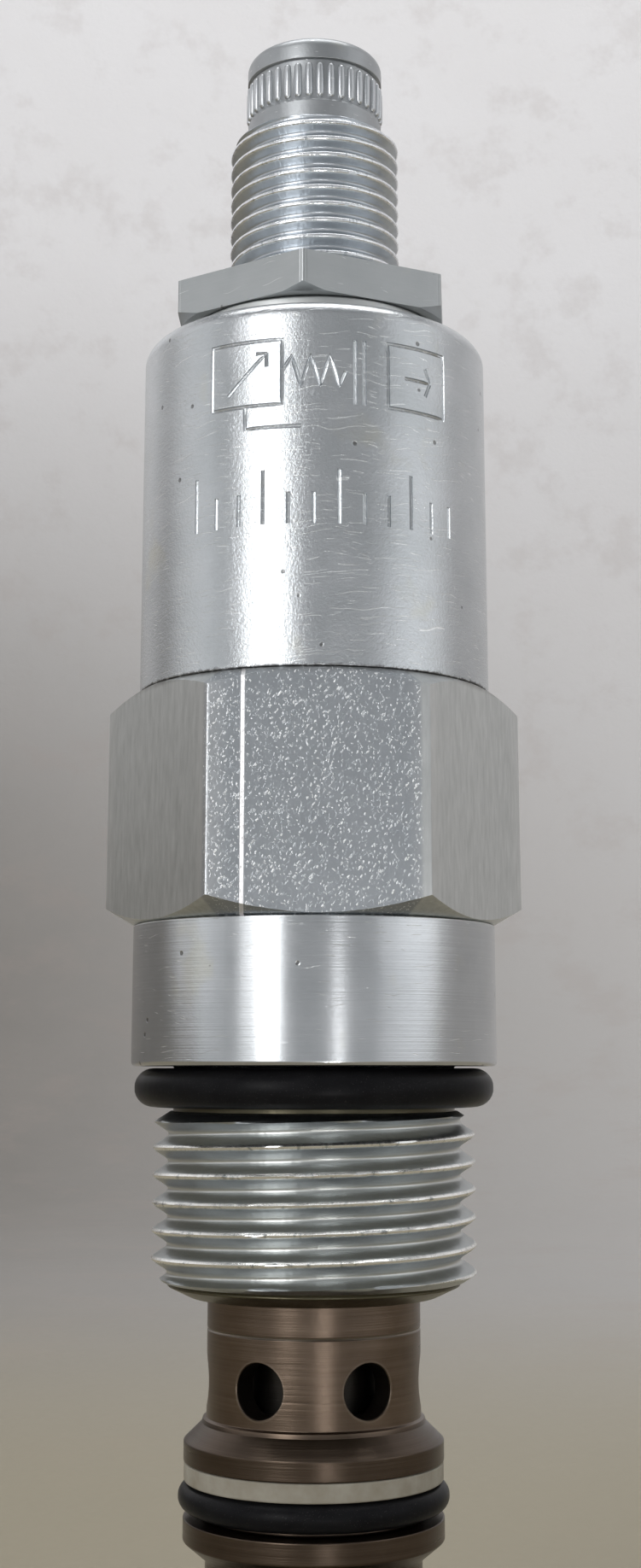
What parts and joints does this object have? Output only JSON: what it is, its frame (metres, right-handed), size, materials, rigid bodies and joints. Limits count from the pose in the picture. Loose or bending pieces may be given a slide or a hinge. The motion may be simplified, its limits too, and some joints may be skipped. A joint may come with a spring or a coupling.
{
  "type": "cartridge valve",
  "caption": "Screw-in hydraulic pressure reducing cartridge valve with wrench hex, round spring sleeve, threaded adjusting screw with jam nut, and a ported cage with seals.",
  "frame": {"origin": "centre of the shoulder face that seats on the manifold, on the valve's axis", "axes": "+Z along the axis from the nose towards the adjusting screw; one wrench flat faces -Y"},
  "size_m": [0.0294, 0.0258, 0.1214],
  "materials": {
    "plated_body": "satin zinc plating over milled and turned steel",
    "plated_sleeve": "fine satin zinc plating",
    "plated_screw": "zinc plated thread, slightly worn crests",
    "plated_nut": "matte zinc plating",
    "dark_cage": "brown-grey turned steel, lightly oiled",
    "hardened_steel": "ground and hardened",
    "plain_steel": "turned",
    "spring_steel": "drawn wire, oil tempered",
    "screen_brass": "sintered bronze",
    "nitrile": "satin black elastomer",
    "backup_plastic": "off-white PTFE"
  },
  "bodies": {
    "housing": {"hex_body": "plated_body", "sleeve": "plated_sleeve", "cage": "dark_cage", "body_o_ring": "nitrile", "upper_cage_o_ring": "nitrile", "lower_cage_o_ring": "nitrile", "cage_joint_o_ring": "nitrile", "sleeve_o_ring": "nitrile", "upper_backup_ring": "backup_plastic", "lower_backup_ring_top": "backup_plastic", "lower_backup_ring_bottom": "backup_plastic", "pilot_seat": "hardened_steel", "pilot_seat_o_ring": "nitrile", "pilot_screen": "screen_brass", "main_spring_seat": "plain_steel", "main_spring": "spring_steel", "spool_stop_ring": "spring_steel"},
    "spring_follower": {"upper_spring_guide": "plain_steel", "thrust_ball": "hardened_steel"},
    "adjuster": {"adjusting_screw": "plated_screw", "screw_o_ring": "nitrile", "screw_backup_ring": "backup_plastic", "adjuster_cap": "plated_screw"},
    "nut_carrier": {"lock_washer": "plated_nut"},
    "jam_nut": {"lock_nut": "plated_nut"},
    "pilot": {"pilot_poppet": "hardened_steel", "lower_spring_guide": "plain_steel", "pilot_spring": "spring_steel"},
    "spool": {"main_spool": "hardened_steel", "spool_orifice_plug": "hardened_steel"}
  },
  "joints": [
    {"name": "adjuster_travel", "type": "slide", "parent": "housing", "child": "spring_follower", "axis": [0, 0, 1], "range_m": [-0.00571, 0], "deforming": ["pilot_spring"]},
    {"name": "adjuster_turn", "type": "hinge", "parent": "spring_follower", "child": "adjuster", "pos_m": [0, 0, 0.06], "axis": [0, 0, 1], "range_deg": [-1620.1, 0]},
    {"name": "nut_travel", "type": "slide", "parent": "housing", "child": "nut_carrier", "axis": [0, 0, 1], "range_m": [0, 0.00191]},
    {"name": "nut_turn", "type": "hinge", "parent": "nut_carrier", "child": "jam_nut", "pos_m": [0, 0, 0.0544], "axis": [0, 0, 1], "range_deg": [0, 540.1]},
    {"name": "pilot_lift", "type": "slide", "parent": "housing", "child": "pilot", "axis": [0, 0, 1], "range_m": [0, 0.0005], "deforming": ["pilot_spring"]},
    {"name": "spool_travel", "type": "slide", "parent": "housing", "child": "spool", "axis": [0, 0, 1], "range_m": [0, 0.0026], "deforming": ["main_spring"]}
  ],
  "couplings": [
    {"joint": "adjuster_turn", "follows": "adjuster_travel", "rad_per_m": 4947.4},
    {"joint": "nut_turn", "follows": "nut_travel", "rad_per_m": 4947.4}
  ]
}
